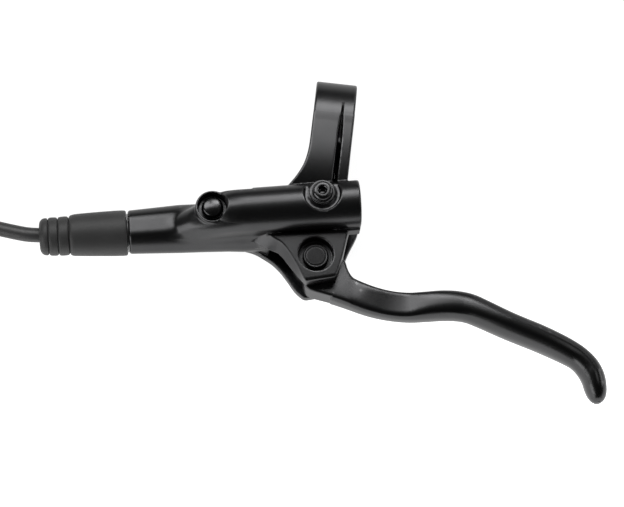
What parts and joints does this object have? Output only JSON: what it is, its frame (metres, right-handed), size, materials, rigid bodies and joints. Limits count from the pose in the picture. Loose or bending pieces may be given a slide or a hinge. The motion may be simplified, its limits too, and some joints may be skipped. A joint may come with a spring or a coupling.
{
  "type": "bicycle brake lever",
  "caption": "Hydraulic disc brake lever: cast body with master cylinder, reservoir and bar clamp, curved lever blade on a pivot pin, ribbed hose cover and coiled hose.",
  "frame": {"origin": "centre of the handlebar clamp bore", "axes": "+X along the handlebar towards the lever tip, +Y from the lever towards the rider, +Z parallel to the lever pivot, out of the side with the bleed screw"},
  "size_m": [0.2927, 0.1278, 0.0366],
  "materials": {
    "body_paint": "satin black paint on cast aluminium",
    "lever_paint": "satin black paint on forged aluminium",
    "bolt_steel": "black oxide steel",
    "cover_rubber": "matte dark grey rubber",
    "nut_metal": "black anodised",
    "brass_parts": "plain brass",
    "steel_parts": "plain steel",
    "hose_jacket": "black nylon hose jacket",
    "tie_plastic": "black nylon",
    "screw_black": "black anodised",
    "seal_rubber": "black rubber",
    "cap_plastic": "black moulded plastic",
    "piston_plastic": "moulded piston",
    "bush_plastic": "self-lubricating bush",
    "pin_black": "black plated steel"
  },
  "bodies": {
    "body": {"lever_body": "body_paint", "clamp_bolt": "bolt_steel", "hose_cover": "cover_rubber", "compression_nut": "nut_metal", "olive": "brass_parts", "hose_insert": "steel_parts", "brake_hose": "hose_jacket", "hose_coil": "hose_jacket", "hose_tail": "hose_jacket", "hose_tie": "tie_plastic", "caliper_nut": "nut_metal", "caliper_olive": "brass_parts", "caliper_insert": "steel_parts", "bleed_screw": "screw_black", "bleed_o_ring": "seal_rubber", "port_plug": "screw_black", "port_plug_seal": "seal_rubber", "reservoir_cap": "cap_plastic", "bladder": "seal_rubber", "return_spring": "steel_parts", "stop_washer": "steel_parts", "circlip": "steel_parts", "pivot_pin": "pin_black", "pin_clip": "steel_parts"},
    "lever": {"lever_blade": "lever_paint", "upper_bush": "bush_plastic", "lower_bush": "bush_plastic", "reach_screw": "bolt_steel"},
    "piston_group": {"piston": "piston_plastic", "primary_cup": "seal_rubber", "secondary_cup": "seal_rubber", "pushrod": "steel_parts"}
  },
  "joints": [
    {"name": "lever_pivot", "type": "hinge", "parent": "body", "child": "lever", "pos_m": [-0.0013, -0.0488, 0], "axis": [0, 0, 1], "range_deg": [0, 24], "stiffness_Nm_per_rad": 0.3, "springref_deg": -20.05},
    {"name": "piston_slide", "type": "slide", "parent": "body", "child": "piston_group", "axis": [-0.9848, -0.1736, 0], "range_m": [0, 0.0062], "deforming": ["return_spring"]}
  ],
  "couplings": [
    {"joint": "piston_slide", "follows": "lever_pivot", "m_per_rad": 0.014}
  ]
}
